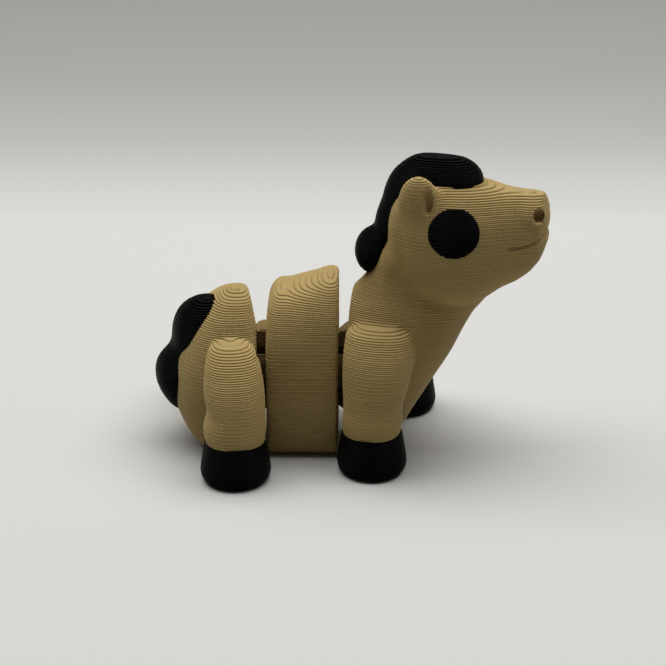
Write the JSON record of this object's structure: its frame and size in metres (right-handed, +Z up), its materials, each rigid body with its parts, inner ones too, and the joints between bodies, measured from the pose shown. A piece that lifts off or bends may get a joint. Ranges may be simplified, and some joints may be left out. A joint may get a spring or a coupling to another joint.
{
  "type": "articulated toy pony",
  "caption": "Segmented printed toy pony that bends sideways at captive ring-and-pin links, tan with black hooves, mane, tail and round disc eyes.",
  "frame": {"origin": "on the surface the toy stands on, under the centre of its box at rest", "axes": "+Z up, +X towards the nose along the middle segment, +Y to the toy's left"},
  "size_m": [0.044, 0.0308, 0.0344],
  "materials": {
    "tan_plastic": "matte filament with visible printed layers",
    "black_plastic": "matte filament with visible printed layers and a slight sheen"
  },
  "bodies": {
    "middle": {"middle_body": "tan_plastic", "rear_link_pin": "tan_plastic", "front_link_ring": "tan_plastic"},
    "rear": {"rear_body": "tan_plastic", "rear_link_ring": "tan_plastic", "hind_hoof_left": "black_plastic", "hind_hoof_right": "black_plastic", "tail": "black_plastic"},
    "front": {"front_body": "tan_plastic", "front_link_pin": "tan_plastic", "fore_hoof_left": "black_plastic", "fore_hoof_right": "black_plastic", "mane": "black_plastic", "left_eye": "black_plastic", "right_eye": "black_plastic"}
  },
  "joints": [
    {"name": "rear_link", "type": "hinge", "parent": "middle", "child": "rear", "pos_m": [-0.00993, 0.00065, 0.00858], "axis": [0, 0, 1], "range_deg": [-24, 6]},
    {"name": "front_link", "type": "hinge", "parent": "middle", "child": "front", "pos_m": [-0.00006, 0.00065, 0.00858], "axis": [0, 0, 1], "range_deg": [-2, 28]}
  ]
}
